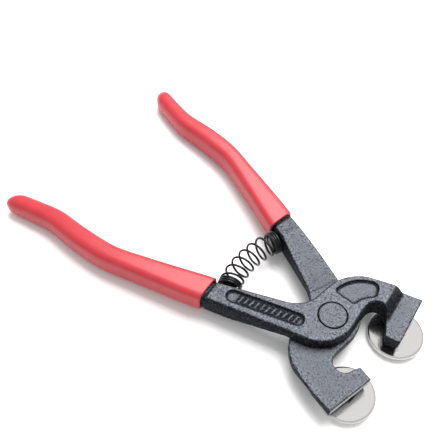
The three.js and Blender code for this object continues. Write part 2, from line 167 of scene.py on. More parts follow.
def place(mesh, points):
    """Moves a mesh's vertices to the points."""
    mesh.vertices.foreach_set("co", points.astype(np.float32).ravel())
    mesh.update()


def set_attribute(mesh, name, values):
    """Keeps a number for each vertex under a name that a material can read."""
    kept = mesh.attributes.new(name, "FLOAT", "POINT")
    kept.data.foreach_set("value", values.astype(np.float32))


def rolling(points, wavelength, seed, waves=28):
    """A smooth random height of unit spread at each point: a sum of sine waves with random headings and
    phases, whose lengths lie round the one given."""
    rng = np.random.default_rng(seed)
    heading = rng.normal(size=(waves, 3))
    heading /= np.linalg.norm(heading, axis=1, keepdims=True)
    number = 2 * math.pi / (wavelength * rng.uniform(0.7, 1.5, waves))
    phase = rng.uniform(0, 2 * math.pi, waves)
    return np.sin(points @ (heading * number[:, None]).T + phase).sum(1) * math.sqrt(2 / waves)


def turned_points(profile, columns):
    """A profile of (radius, height) pairs carried round Z: rows follow the profile, columns the turn."""
    radius, height = np.array(profile, float).T
    turn = np.linspace(0, 2 * math.pi, columns, endpoint=False)
    x = radius[:, None] * np.cos(turn)
    y = radius[:, None] * np.sin(turn)
    z = np.broadcast_to(height[:, None], x.shape)
    return np.stack([x, y, z], axis=-1)


def refined(profile, step, corner=0.0):
    """A profile's straight runs split into pieces no longer than a step, with each corner cut back to an
    arc-like pair of points at the corner distance."""
    points = [np.array(p, float) for p in profile]
    eased = [points[0]]
    for before, here, after in zip(points, points[1:], points[2:]):
        for neighbour in (before, after):
            span = np.linalg.norm(neighbour - here)
            share = min(corner / span, 0.45) if corner else 0
            eased.append(here + (neighbour - here) * share)
            if not corner:
                break
        if corner:
            eased.insert(-1, here * 0.5 + (eased[-2] + eased[-1]) * 0.25)
    eased.append(points[-1])
    rows = [eased[0]]
    for start, end in zip(eased, eased[1:]):
        count = max(1, math.ceil(np.linalg.norm(end - start) / step))
        rows += [start + (end - start) * i / count for i in range(1, count + 1)]
    return np.array(rows)


# ---- materials ---------------------------------------------------------------------------------------


def add_node(tree, kind, inputs=None, **settings):
    """Adds a node with its settings. An input is a value, or the output that it is linked to."""
    made = tree.nodes.new(kind)
    for name, value in settings.items():
        setattr(made, name, value)
    for socket, value in (inputs or {}).items():
        if isinstance(value, bpy.types.NodeSocket):
            tree.links.new(value, made.inputs[socket])
        else:
            made.inputs[socket].default_value = value
    return made


def mixed(tree, share, first, second):
    """The output of a mix of two colours, by share."""
    colours = {0: share, 6: first, 7: second}
    return add_node(tree, "ShaderNodeMix", colours, data_type="RGBA").outputs[2]


def new_material(name):
    """An empty node material, and its tree."""
    material = bpy.data.materials.new(name)
    material.use_nodes = True
    material.node_tree.nodes.clear()
    return material, material.node_tree


def finish_material(tree, shader):
    """Sends a shader to the surface."""
    add_node(tree, "ShaderNodeOutputMaterial", {"Surface": shader.outputs[0]})


def per_mm(size):
    """The scale that gives a pattern on Object coordinates its feature size in millimetres."""
    return 1 / (size * MM)


def enamel(settings):
    """Hammered stove enamel over drop-forged steel: near black, pitted and flecked by a fine grit, under an
    orange-peel skin that is coarser beside the edges. painted_shade_sheen sets how much light the coat
    mirrors, and its fall on the walls and in the creases is painted shade. edge_zone adds bright flecks
    beside the edges, and front_painted_reflection paints a pale reflection of the white wheels and floor onto
    the jaws' front walls."""
    material, tree = new_material("hammered_enamel")
    place_on = add_node(tree, "ShaderNodeTexCoord").outputs["Object"]
    peel = add_node(
        tree,
        "ShaderNodeTexNoise",
        {"Vector": place_on, "Scale": per_mm(1.9), "Detail": 3.0, "Roughness": 0.65},
    ).outputs["Fac"]
    grit = add_node(
        tree,
        "ShaderNodeTexNoise",
        {"Vector": place_on, "Scale": per_mm(0.7), "Detail": 2.0, "Roughness": 0.65},
    ).outputs["Fac"]
    cloud = add_node(
        tree, "ShaderNodeTexNoise", {"Vector": place_on, "Scale": per_mm(8), "Detail": 2.0}
    ).outputs["Fac"]
    zone = add_node(tree, "ShaderNodeAttribute", attribute_name="edge_zone").outputs["Fac"]
    fleck = add_node(
        tree,
        "ShaderNodeMapRange",
        {"Value": grit, "From Min": 0.5, "From Max": 0.66, "To Min": 0.0, "To Max": 1.0},
    ).outputs["Result"]
    flat = add_node(tree, "ShaderNodeAttribute", attribute_name="painted_shade_sheen").outputs["Fac"]
    front = add_node(tree, "ShaderNodeAttribute", attribute_name="front_painted_reflection").outputs["Fac"]
    ground = mixed(tree, cloud, linear(settings.enamel_dark), linear(settings.enamel_light))
    flecked = mixed(tree, fleck, ground, linear(settings.enamel_fleck))
    # Painted reflection: the jaws' front walls take a pale grey coat that stands in for the white wheels and
    # floor that they mirror.
    coat = mixed(tree, front, flecked, linear(settings.enamel_front_reflection))
    # Painted shade: the coat mirrors far less light on the walls and in the creases than on the level faces,
    # so these render darker than the lamps alone would make them.
    level = add_node(
        tree, "ShaderNodeMapRange", {"Value": flat, "To Min": 0.03, "To Max": 0.55}
    ).outputs["Result"]
    unpitted = add_node(
        tree,
        "ShaderNodeMapRange",
        {"Value": grit, "From Min": 0.34, "From Max": 0.47, "To Min": 0.3, "To Max": 1.0},
    ).outputs["Result"]
    body = add_node(tree, "ShaderNodeMath", {0: level, 1: unpitted}, operation="MULTIPLY").outputs[0]
    bead = add_node(tree, "ShaderNodeMath", {0: zone, 1: fleck}, operation="MULTIPLY").outputs[0]
    glint = add_node(tree, "ShaderNodeMath", {0: bead, 1: level}, operation="MULTIPLY").outputs[0]
    sheen = add_node(tree, "ShaderNodeMath", {0: body, 1: glint}, operation="ADD").outputs[0]
    rough = add_node(
        tree,
        "ShaderNodeMapRange",
        {"Value": grit, "From Min": 0.35, "From Max": 0.65, "To Min": 0.26, "To Max": 0.5},
    ).outputs["Result"]
    thick = add_node(
        tree,
        "ShaderNodeMapRange",
        {"Value": zone, "To Min": 0.04, "To Max": 0.3},
    ).outputs["Result"]
    height = add_node(tree, "ShaderNodeMath", {0: peel, 1: thick}, operation="MULTIPLY").outputs[0]
    peel_bump = add_node(
        tree, "ShaderNodeBump", {"Height": height, "Strength": 1.0, "Distance": 1.0 * MM}
    ).outputs[0]
    skin = add_node(
        tree,
        "ShaderNodeBump",
        {"Height": grit, "Strength": 1.0, "Distance": 0.17 * MM, "Normal": peel_bump},
    ).outputs[0]
    shader = add_node(
        tree,
        "ShaderNodeBsdfPrincipled",
        {
            "Base Color": coat,
            "Roughness": rough,
            "IOR": 1.5,
            "Specular IOR Level": sheen,
            "Specular Tint": linear(settings.enamel_sheen),
            "Normal": skin,
        },
    )
    finish_material(tree, shader)
    return material


def vinyl(settings):
    """Dipped plastisol vinyl: a thick, soft gloss skin that lets a little light in, with the faint sag and
    ripple that it keeps from running off as it was drawn out of the bath."""
    material, tree = new_material("dipped_vinyl")
    place_on = add_node(tree, "ShaderNodeTexCoord").outputs["Object"]
    sag = add_node(
        tree, "ShaderNodeTexNoise", {"Vector": place_on, "Scale": per_mm(7), "Detail": 1.0}
    ).outputs["Fac"]
    pores = add_node(
        tree, "ShaderNodeTexNoise", {"Vector": place_on, "Scale": per_mm(0.9), "Detail": 2.0}
    ).outputs["Fac"]
    colour = mixed(tree, sag, linear(settings.vinyl_deep), linear(settings.vinyl_light))
    rough = add_node(
        tree,
        "ShaderNodeMapRange",
        {"Value": pores, "From Min": 0.3, "From Max": 0.7, "To Min": 0.3, "To Max": 0.38},
    ).outputs["Result"]
    ripple = add_node(
        tree, "ShaderNodeBump", {"Height": sag, "Strength": 0.4, "Distance": 0.12 * MM}
    ).outputs[0]
    skin = add_node(
        tree,
        "ShaderNodeBump",
        {"Height": pores, "Strength": 0.25, "Distance": 0.02 * MM, "Normal": ripple},
    ).outputs[0]
    shader = add_node(
        tree,
        "ShaderNodeBsdfPrincipled",
        {
            "Base Color": colour,
            "Roughness": rough,
            "IOR": 1.41,
            "Subsurface Weight": 0.08,
            "Subsurface Radius": (1.0, 0.3, 0.2),
            "Subsurface Scale": 1.2 * MM,
            "Normal": skin,
        },
    )
    finish_material(tree, shader)
    return material


def ground_steel(settings):
    """Hardened tool steel, ground and polished in a lathe: mirror bright, with hair-fine rings round the axis
    that stretch its reflections."""
    material, tree = new_material("ground_tool_steel")
    radius = add_node(tree, "ShaderNodeAttribute", attribute_name="turned_radius").outputs["Fac"]
    rings = add_node(
        tree,
        "ShaderNodeTexNoise",
        {"W": radius, "Scale": per_mm(0.35), "Detail": 3.0, "Roughness": 0.6},
        noise_dimensions="1D",
    ).outputs["Fac"]
    rough = add_node(
        tree,
        "ShaderNodeMapRange",
        {"Value": rings, "From Min": 0.25, "From Max": 0.75, "To Min": 0.1, "To Max": 0.22},
    ).outputs["Result"]
    hairlines = add_node(
        tree, "ShaderNodeBump", {"Height": rings, "Strength": 0.12, "Distance": 0.01 * MM}
    ).outputs[0]
    shader = add_node(
        tree,
        "ShaderNodeBsdfPrincipled",
        {
            "Base Color": linear(settings.steel),
            "Metallic": 1.0,
            "Roughness": rough,
            "Normal": hairlines,
        },
    )
    finish_material(tree, shader)
    return material


def black_oxide(name, colour, grain):
    """Black oxide on steel: a dark conversion coat that keeps a metal's sheen, with a fine drawn or turned
    grain of the size given."""
    material, tree = new_material(name)
    place_on = add_node(tree, "ShaderNodeTexCoord").outputs["Object"]
    fine = add_node(
        tree, "ShaderNodeTexNoise", {"Vector": place_on, "Scale": per_mm(grain), "Detail": 3.0}
    ).outputs["Fac"]
    rough = add_node(
        tree,
        "ShaderNodeMapRange",
        {"Value": fine, "From Min": 0.3, "From Max": 0.7, "To Min": 0.2, "To Max": 0.34},
    ).outputs["Result"]
    skin = add_node(
        tree, "ShaderNodeBump", {"Height": fine, "Strength": 0.25, "Distance": 0.02 * MM}
    ).outputs[0]
    shader = add_node(
        tree,
        "ShaderNodeBsdfPrincipled",
        {"Base Color": linear(colour), "Metallic": 0.85, "Roughness": rough, "Normal": skin},
    )
    finish_material(tree, shader)
    return material


# ---- pieces ------------------------------------------------------------------------------------------


def neighbour_mean(mesh, values):
    """Each vertex's mean of the values at the vertices joined to it by an edge."""
    ends = np.empty(len(mesh.edges) * 2, np.int32)
    mesh.edges.foreach_get("vertices", ends)
    first, second = ends.reshape(-1, 2).T
    total = np.zeros_like(values)
    count = np.zeros(len(values))
    for here, there in ((first, second), (second, first)):
        for axis in range(values.shape[1]):
            total[:, axis] += np.bincount(here, values[there, axis], len(values))
        count += np.bincount(here, minlength=len(values))
    return total / np.maximum(count, 1)[:, None]


def forged_lever(word, settings):
    """A lever's CAD solid as a forging: its surface is rebuilt as an even net of small quads, every edge is
    eased by averaging each point with its neighbours, and the faces get the low waves that a hammer die
    leaves. Three numbers are kept for the enamel. edge_zone is near 1 on and beside the edges, where a point
    stands proud of its neighbours. painted_shade_sheen is near 1 on level faces, and falls on the walls and
    in the creases, where its fall paints shade by cutting the coat's reflection. front_painted_reflection is
    near 1 on the jaws' front walls, where it paints a pale reflection of the white wheels and floor."""
    name = "lever_forging_" + word
    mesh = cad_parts[word + "_lever"].data.copy()
    tidied(mesh, 1e-6)
    block = shown(name, mesh)
    remesh = block.modifiers.new("net", "REMESH")
    remesh.mode = "VOXEL"
    remesh.voxel_size = settings.net
    graph = bpy.context.evaluated_depsgraph_get()
    net = bpy.data.meshes.new_from_object(block.evaluated_get(graph))
    block.modifiers.clear()
    block.data = net
    points = positions(net)
    for _ in range(settings.easing):
        points += (neighbour_mean(net, points) - points) * 0.6
    place(net, points)
    facing = normals(net)
    proud = ((points - neighbour_mean(net, points)) * facing).sum(1)[:, None]
    zone = np.clip(proud / (0.03 * settings.net), 0, 1)
    for _ in range(settings.zone_spread):
        zone = neighbour_mean(net, zone)
    zone = np.clip(zone[:, 0] * 5, 0, 1)
    # Painted shade: concave points in the creases and along the recess outlines, where the coat's reflection
    # is cut to darken them.
    painted_crease_shade = np.clip(-proud / (0.03 * settings.net), 0, 1)
    for _ in range(2):
        painted_crease_shade = neighbour_mean(net, painted_crease_shade)
    painted_crease_shade = np.clip(painted_crease_shade[:, 0] * 1.8, 0, 1)
    height = rolling(points, 6 * MM, 11) * settings.waviness
    height += rolling(points, 2.4 * MM, 12) * settings.waviness * 0.35
    place(net, points + facing * height[:, None])
    net.shade_smooth()
    set_attribute(net, "edge_zone", zone)
    upright = np.abs(facing[:, 2])
    # Painted shade: the share of the coat's reflection falls on the walls and in the creases.
    set_attribute(net, "painted_shade_sheen", smoothstep(upright, 0.5, 0.97) * (1 - painted_crease_shade))
    # Painted reflection: the jaws' front walls are marked here, and the enamel paints them pale in place of
    # the white wheels and floor that they mirror.
    on_jaw = points[:, 0] > PIVOT[0] + JAW_START * MM
    set_attribute(net, "front_painted_reflection", smoothstep(facing[:, 0], 0.8, 0.95) * on_jaw)
    return block


# The grip's middle line from its mouth to its tip, and its half sizes and squareness at the mouth, the middle
# and the tip.
GRIP_LINE = np.array(
    [
        (-45.2, -23.9),
        (-60, -29.3),
        (-75, -34.6),
        (-90, -39.4),
        (-106, -41.2),
        (-121, -41.7),
        (-133, -44.4),
        (-146.8, -48.4),
    ]
)
GRIP_HALF_WIDTHS = (6.47, 5.07, 4.67)
GRIP_HALF_HEIGHTS = (5.5, 6.0, 5.2)
GRIP_POWERS = (4.2, 3.1, 2.4)
TANG_END = -122.0
MOUTH_SLANT = 0.13
DOME = 7.0


def smooth_line(knots, per_span=40):
    """Points along the uniform Catmull-Rom curve through the knots, whose end spans repeat the end knot."""
    padded = np.vstack([knots[0], knots, knots[-1]])
    share = np.linspace(0, 1, per_span, endpoint=False)[:, None]
    spans = []
    for p0, p1, p2, p3 in zip(padded, padded[1:], padded[2:], padded[3:]):
        slope_in, slope_out = (p2 - p0) / 2, (p3 - p1) / 2
        cubic = (2 * (p1 - p2) + slope_in + slope_out) * share**3
        square = (3 * (p2 - p1) - 2 * slope_in - slope_out) * share**2
        spans.append(cubic + square + slope_in * share + p1)
    return np.vstack([*spans, knots[-1]])


def smoothstep(value, low, high):
    """0 below low, 1 above high, and a smooth S between."""
    share = np.clip((value - low) / (high - low), 0, 1)
    return share * share * (3 - 2 * share)


def along(share, mouth, middle, tip):
    """A size that runs from its value at the grip's mouth to that at its middle, then to that at its tip."""
    to_middle = (middle - mouth) * smoothstep(share, 0, 0.45)
    return mouth + to_middle + (tip - middle) * smoothstep(share, 0.5, 1)


def grip_points(sign, settings):
    """The grip's skin as a closed sheet, rows by columns, in millimetres from the pivot. Rows run from the
    blind end of the hollow out to the mouth, round the lip, and back along the outside to the domed tip.
    Each row is a rounded square, |a|^n + |b|^n = 1, sized by its place along the grip line less the row's
    inset."""
    mouth, tip = GRIP_LINE[0, 0], GRIP_LINE[-1, 0]
    wall = settings.wall / MM
    lip = wall / 2
    turn = np.linspace(0, math.pi / 2, 14)
    half_turn = np.linspace(0, math.pi, 10)
    inside = np.linspace(TANG_END, mouth - lip, 60)
    outside = np.linspace(mouth - lip, tip + DOME, 150)
    hollow_end = 2.0
    x = np.concatenate(
        [
            TANG_END - hollow_end * np.cos(turn),
            inside,
            mouth - lip + lip * np.sin(half_turn),
            outside,
            tip + DOME - DOME * np.sin(turn),
        ]
    )
    inset = np.concatenate(
        [
            np.full(len(turn) + len(inside), wall),
            lip + lip * np.cos(half_turn),
            np.zeros(len(outside) + len(turn)),
        ]
    )
    straight = np.ones(len(inside) + len(half_turn) + len(outside))
    scale = np.concatenate([np.sin(turn), straight, np.cos(turn)])
    share = np.clip((mouth - x) / (mouth - tip), 0, 1)
    line = smooth_line(GRIP_LINE)[::-1]
    centre = np.interp(x, line[:, 0], line[:, 1])
    half_width = (along(share, *GRIP_HALF_WIDTHS) - inset) * scale
    half_height = (along(share, *GRIP_HALF_HEIGHTS) - inset) * scale
    around = np.linspace(0, 2 * math.pi, 96, endpoint=False)
    cosine, sine = np.cos(around), np.sin(around)
    power = along(share, *GRIP_POWERS)[:, None]
    stretch = (np.abs(cosine) ** power + np.abs(sine) ** power) ** (-1 / power)
    outward = half_width[:, None] * cosine * stretch
    up = half_height[:, None] * sine * stretch
    slant = MOUTH_SLANT * (1 - smoothstep(share, 0, 0.2))
    slanted = x[:, None] - slant[:, None] * outward
    return np.stack([slanted, sign * (centre[:, None] + outward), up], axis=-1)


HEEL = np.array((-17.0, -6.2))
MOUTH_INNER = np.array((-45.2, -18.8))
SPRING_BASE_X = -40.6
SEAT_GAP = 0.3
EDGE_ANGLE = math.atan2(HEEL[1] - MOUTH_INNER[1], HEEL[0] - MOUTH_INNER[0])
SPRING_BASE_Y = MOUTH_INNER[1] + math.tan(EDGE_ANGLE) * (SPRING_BASE_X - MOUTH_INNER[0])


def spring_points(settings):
    """The wire's tube: the coil's axis is an arc that leaves each handle square to its inner edge, the wire
    winds round it at the coil radius, close at both ends and open between, and a ring of the wire's radius
    follows it. Rows follow the wire, columns go round it, and the end rows close to a point."""
    wire = settings.wire / 2 / MM
    coil = settings.coil / 2 / MM - wire
    closed, opened = 3, 6
    turns = np.linspace(0, 2 * closed + opened, (2 * closed + opened) * 48 + 1)
    arc = -SPRING_BASE_Y / math.sin(EDGE_ANGLE)
    start = EDGE_ANGLE - (SEAT_GAP + wire) / arc
    length = 2 * start * arc
    pitch = 2.06 * wire
    advance = np.interp(
        turns,
        [0, closed, closed + opened, 2 * closed + opened],
        [0, closed * pitch, length - closed * pitch, length],
    )
    angle = start - advance / arc
    wound = turns * 2 * math.pi
    reach = arc + coil * np.cos(wound)
    centre_x = SPRING_BASE_X + arc * math.cos(EDGE_ANGLE)
    cosine, sine, lift = np.cos(angle), np.sin(angle), np.sin(wound)
    path = np.stack([centre_x - reach * cosine, -reach * sine, coil * lift], axis=-1)
    out = np.stack([-cosine * np.cos(wound), -sine * np.cos(wound), lift], axis=-1)
    heading = np.gradient(path, axis=0)
    heading /= np.linalg.norm(heading, axis=1, keepdims=True)
    out -= (out * heading).sum(1, keepdims=True) * heading
    out /= np.linalg.norm(out, axis=1, keepdims=True)
    side = np.cross(heading, out)
    around = np.linspace(0, 2 * math.pi, 14, endpoint=False)
    ring = out[:, None] * np.cos(around)[:, None] + side[:, None] * np.sin(around)[:, None]
    tube = path[:, None] + wire * ring
    first = np.repeat(path[:1, None], len(around), axis=1)
    last = np.repeat(path[-1:, None], len(around), axis=1)
    return np.concatenate([first, tube, last])


def wheel_profile(radius, thickness, settings):
    """A cutter wheel's half section: a bore with a countersink below, a flat face, a shallow ground land at
    the rim, an upright rim and a 45 degree bevel under it."""
    land = settings.land / MM
    fall = land * math.tan(math.radians(14))
    edge = 0.12
    bevel = thickness - WHEEL_RIM
    return [
        (WHEEL_BORE, thickness),
        (WHEEL_BORE, WHEEL_SINK - WHEEL_BORE),
        (WHEEL_SINK, 0),
        (radius - bevel, 0),
        (radius, bevel),
        (radius, thickness - fall - edge),
        (radius - edge, thickness - fall),
        (radius - land, thickness),
        (WHEEL_BORE, thickness),
    ]


def rivet_points(settings):
    """The rivet: a shank between two domed heads. A head's height is a shallow dome with a rounded rim, less
    Gaussian dents where the hammer closed it."""
    low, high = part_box("pivot_rivet")
    head = (high.x - low.x) / 2 / MM
    top = (high.z - low.z) / 2 / MM
    seat = top - RIVET_HEAD
    crown, rounding, dents = 0.12, 0.3, 11
    rows = np.linspace(0, 1, 40)
    radius = head * np.sin(rows * math.pi / 2)
    rim = top - crown - rounding * (1 - np.sqrt(np.clip(1 - (radius / head) ** 14, 0, 1)))
    dome = rim + crown * (1 - (radius / head) ** 2)
    rest = refined([(head, rim[-1]), (head, seat), (RIVET_SHANK, seat), (RIVET_SHANK, 0)], 0.6)
    upper = np.vstack([np.column_stack([radius, dome]), rest[1:]])
    lower = upper[::-1][1:] * (1, -1)
    points = turned_points(np.vstack([upper, lower]), 72)
    rng = np.random.default_rng(settings.seed)
    for face in (1, -1):
        for _ in range(dents):
            reach = head * 0.85 * math.sqrt(rng.uniform())
            turn = rng.uniform(0, 2 * math.pi)
            spot = np.array((reach * math.cos(turn), reach * math.sin(turn)))
            away = np.linalg.norm(points[..., :2] - spot, axis=-1)
            depth = settings.dent / MM * rng.uniform(0.5, 1)
            dent = depth * np.exp(-((away / rng.uniform(0.8, 1.5)) ** 2))
            points[..., 2] -= face * dent * (points[..., 2] * face > seat + 0.3)
    return points


def screw_points(columns=72):
    """The socket screw: from the socket's floor up its six flat walls, over the head's face, down the cone
    and along the shank. The socket's radius is its flat's distance over the cosine from the nearest flat."""
    low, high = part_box("wheel_screw_upper")
    head = (high.x - low.x) / 2 / MM
    length = (high.z - low.z) / MM
    shank, flat, depth = 2.4, 1.5, 1.5
    face, ease, chamfer = 2.2, 0.12, 0.4
    turn = np.linspace(0, 2 * math.pi, columns, endpoint=False)
    sector = math.pi / 3
    hexagon = flat / np.cos((turn + sector / 2) % sector - sector / 2)
    unit = np.stack([np.cos(turn), np.sin(turn)], axis=-1)
    rows = [
        (0.0, depth),
        (0.6, depth),
        (1.0, depth - 0.02),
        (1.0, depth * 0.5),
        (1.0, ease),
        (1.06, 0.0),
    ]
    socket = [
        np.column_stack([unit * (share * hexagon)[:, None], np.full(columns, z)]) for share, z in rows
    ]
    outline = [
        (face, 0),
        (head - ease, 0),
        (head, ease),
        (shank, head - shank),
        (shank, length - chamfer),
        (shank - chamfer, length),
        (0, length),
    ]
    body = refined(outline, 0.5, 0.06)
    return np.concatenate([np.stack(socket), turned_points(body, columns)])


def peg_points():
    """The spring's peg: a stem in the handle and a round locating head with an eased end."""
    stem, head, nose = 1.6, 3.25, 2.45
    foot, shoulder, neck, tip = -3.2, SEAT_GAP, 3.4, 4.2
    outline = [
        (0, foot),
        (stem, foot),
        (stem, shoulder),
        (head, shoulder),
        (head, neck),
        (nose, tip),
        (0, tip),
    ]
    return turned_points(refined(outline, 0.5, 0.15), 56)


# ---- settings ----------------------------------------------------------------------------------------


class LeverSettings(bpy.types.PropertyGroup):
    """Sizes and colours of the two levers."""

    net: bpy.props.FloatProperty(
        name="Net",
        description="Size of the quads that the forging is made of",
        default=0.3 * MM,
        unit="LENGTH",
        precision=6,
    )
    easing: bpy.props.IntProperty(
        name="Easing",
        description="How often the edges are averaged round",
        default=3,
    )
    zone_spread: bpy.props.IntProperty(
        name="Zone spread", description="How often the edges' coarse zone is averaged out", default=40
    )
    waviness: bpy.props.FloatProperty(
        name="Waviness",
        description="Height of the waves on forged faces",
        default=0.02 * MM,
        unit="LENGTH",
        precision=6,
    )
    enamel_dark: bpy.props.StringProperty(
        name="Enamel, dark", description="sRGB colour of the enamel where it is thick", default="#0e0f12"
    )
    enamel_light: bpy.props.StringProperty(
        name="Enamel, light", description="sRGB colour of the enamel where it is thin", default="#15171b"
    )
    enamel_fleck: bpy.props.StringProperty(
        name="Enamel, fleck", description="sRGB colour of the flecks in the enamel", default="#34373c"
    )
    # Painted reflection: the pale grey that the jaws' front walls are painted, standing in for the white
    # wheels and floor that they mirror.
    enamel_front_reflection: bpy.props.StringProperty(
        name="Enamel, thin",
        description="sRGB colour of the thin enamel on the jaws' ground fronts",
        default="#9c9da0",
    )
    enamel_sheen: bpy.props.StringProperty(
        name="Enamel, sheen",
        description="sRGB tint of the light that the enamel mirrors",
        default="#eaf0ff",
    )


class RivetSettings(bpy.types.PropertyGroup):
    """Sizes of the pivot rivet."""

    dent: bpy.props.FloatProperty(
        name="Dent",
        description="Depth of the deepest hammer dent",
        default=0.14 * MM,
        unit="LENGTH",
        precision=6,
    )
    seed: bpy.props.IntProperty(
        name="Dent pattern",
        description="Which arrangement of dents is used",
        default=5,
    )


class WheelSettings(bpy.types.PropertyGroup):
    """Sizes and colours of the cutter wheels."""

    land: bpy.props.FloatProperty(
        name="Land",
        description="Width of the ground ring at the rim",
        default=0.7 * MM,
        unit="LENGTH",
        precision=6,
    )
    steel: bpy.props.StringProperty(
        name="Steel",
        description="sRGB colour of the polished steel",
        default="#cfcdcb",
    )


class ScrewSettings(bpy.types.PropertyGroup):
    """Colours of the wheel screws."""

    oxide: bpy.props.StringProperty(
        name="Oxide",
        description="sRGB colour of the black oxide",
        default="#2c2d30",
    )


class GripSettings(bpy.types.PropertyGroup):
    """Sizes and colours of the grips."""

    wall: bpy.props.FloatProperty(
        name="Wall",
        description="Thickness of the dipped skin",
        default=1.2 * MM,
        unit="LENGTH",
        precision=6,
    )
    vinyl_deep: bpy.props.StringProperty(
        name="Vinyl, deep", description="sRGB colour of the vinyl where it is thick", default="#a2262f"
    )
    vinyl_light: bpy.props.StringProperty(
        name="Vinyl, light", description="sRGB colour of the vinyl where it is thin", default="#ac3038"
    )


class SpringSettings(bpy.types.PropertyGroup):
    """Sizes and colours of the return spring and its pegs."""

    wire: bpy.props.FloatProperty(
        name="Wire",
        description="Diameter of the spring's wire",
        default=1.0 * MM,
        unit="LENGTH",
        precision=6,
    )
    coil: bpy.props.FloatProperty(
        name="Coil",
        description="Outer diameter of the spring's coil",
        default=10.4 * MM,
        unit="LENGTH",
        precision=6,
    )
    oxide: bpy.props.StringProperty(
        name="Oxide",
        description="sRGB colour of the black oxide",
        default="#26272a",
    )


class StageSettings(bpy.types.PropertyGroup):
    """The floor, the lights, the white surround and the camera."""

    floor: bpy.props.StringProperty(
        name="Floor",
        description="sRGB colour of the paper floor",
        default="#f2f2f2",
    )
    softbox_side: bpy.props.FloatProperty(
        name="Softbox side",
        description="Length of the overhead softbox's sides",
        default=0.72,
        unit="LENGTH",
    )
    softbox_power: bpy.props.FloatProperty(
        name="Softbox power", description="Power of the overhead softbox", default=16.5, unit="POWER"
    )
    card_power: bpy.props.FloatProperty(
        name="Card power",
        description="Power of the dim card that only the wheels see",
        default=0.28,
        unit="POWER",
    )
    surround: bpy.props.FloatProperty(
        name="Surround", description="Brightness of the white studio round the object", default=0.8
    )
    lens: bpy.props.FloatProperty(
        name="Lens",
        description="Focal length of the camera, mm on a 36 mm frame",
        default=51.4,
    )


# ---- operators ---------------------------------------------------------------------------------------


def settle(piece, material, body, slot, *nodes):
    """Gives a finished piece its material and the body it rides on, and hides the CAD nodes it stands for.
    The slot is not used.
    """
    piece.data.materials.clear()
    piece.data.materials.append(material)
    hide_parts(*nodes)
    if body:
        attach(piece, body)
    return piece


def aimed_lamp(name, side, power, location):
    """A square area lamp that hangs at the location and faces the frame's origin."""
    lamp = bpy.data.lights.new(name, "AREA")
    lamp.size = side
    lamp.energy = power
    hung = bpy.data.objects.new(name, lamp)
    hung.location = location
    hung.rotation_mode = "QUATERNION"
    hung.rotation_quaternion = (-hung.location).to_track_quat("-Z", "Y")
    bpy.context.scene.collection.objects.link(hung)
    return hung


class BuildLevers(bpy.types.Operator):
    """Builds the two forged levers in hammered enamel"""

    bl_idname = "nippers.levers"
    bl_label = "Levers"

    def execute(self, context):
        settings = context.scene.nippers_levers
        coat = enamel(settings)
        for word, _ in SIDES:
            settle(forged_lever(word, settings), coat, word, "enamel", word + "_lever")
        return {"FINISHED"}


class BuildRivet(bpy.types.Operator):
    """Builds the pivot rivet with its hammered heads"""

    bl_idname = "nippers.rivet"
    bl_label = "Pivot rivet"

    def execute(self, context):
        piece = grid_object("pivot_rivet_peened", from_pivot(rivet_points(context.scene.nippers_rivet)))
        set_attribute(piece.data, "edge_zone", np.full(len(piece.data.vertices), 0.6))
        # Painted shade: the rivet's sides mirror less light than its heads.
        set_attribute(piece.data, "painted_shade_sheen", np.abs(normals(piece.data)[:, 2]))
        settle(piece, bpy.data.materials["hammered_enamel"], "upper", "enamel", "pivot_rivet")
        return {"FINISHED"}


class BuildWheels(bpy.types.Operator):
    """Builds the two polished cutter wheels"""

    bl_idname = "nippers.wheels"
    bl_label = "Cutter wheels"

    def execute(self, context):
        settings = context.scene.nippers_wheels
        steel = ground_steel(settings)
        for word, _ in SIDES:
            node = "cutter_wheel_" + word
            low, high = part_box(node)
            radius = (high.x - low.x) / 2 / MM
            section = wheel_profile(radius, (high.z - low.z) / MM, settings)
            points = turned_points(refined(section, 0.6, 0.05), 160)
            origin = np.array(((low.x + high.x) / 2, (low.y + high.y) / 2, low.z))
            piece = grid_object(node + "_ground", points * MM + origin)
            away = positions(piece.data) - origin
            set_attribute(piece.data, "turned_radius", np.hypot(away[:, 0], away[:, 1]))
            settle(piece, steel, "wheel_" + word, "wheel_steel", node)
        return {"FINISHED"}


class BuildScrews(bpy.types.Operator):
    """Builds the countersunk socket screws that hold the wheels"""

    bl_idname = "nippers.screws"
    bl_label = "Wheel screws"

    def execute(self, context):
        oxide = black_oxide("black_oxide_screw", context.scene.nippers_screws.oxide, 0.5)
        for word, _ in SIDES:
            node = "wheel_screw_" + word
            low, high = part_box(node)
            origin = np.array(((low.x + high.x) / 2, (low.y + high.y) / 2, low.z))
            piece = grid_object(node + "_socket", screw_points() * MM + origin)
            settle(piece, oxide, word, "screw_steel", node)
        return {"FINISHED"}


class BuildGrips(bpy.types.Operator):
    """Builds the two dipped vinyl grips"""

    bl_idname = "nippers.grips"
    bl_label = "Grips"

    def execute(self, context):
        settings = context.scene.nippers_grips
        skin = vinyl(settings)
        for word, sign in SIDES:
            piece = grid_object("grip_" + word + "_dipped", from_pivot(grip_points(sign, settings)))
            settle(piece, skin, word, "dipped_vinyl", "grip_" + word)
        return {"FINISHED"}


class BuildSpring(bpy.types.Operator):
    """Builds the return spring, which bends between the levers, and its two pegs"""

    bl_idname = "nippers.spring"
    bl_label = "Return spring"

    def execute(self, context):
        settings = context.scene.nippers_spring
        oxide = black_oxide("black_oxide_spring", settings.oxide, 0.4)
        piece = grid_object("return_spring_wound", from_pivot(spring_points(settings)))
        settle(piece, oxide, None, "spring_wire", "return_spring")
        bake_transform(piece)
        cosine, sine = math.cos(EDGE_ANGLE), math.sin(EDGE_ANGLE)
        axes = np.array([(cosine, sine, 0), (0, 0, -1), (-sine, cosine, 0)])
        base = np.array((SPRING_BASE_X, SPRING_BASE_Y, 0))
        for word, sign in SIDES:
            points = (peg_points() @ axes + base) * (1, sign, 1)
            peg = grid_object("spring_peg_" + word + "_turned", from_pivot(points))
            settle(peg, oxide, word, "spring_wire", "spring_peg_" + word)
        return {"FINISHED"}


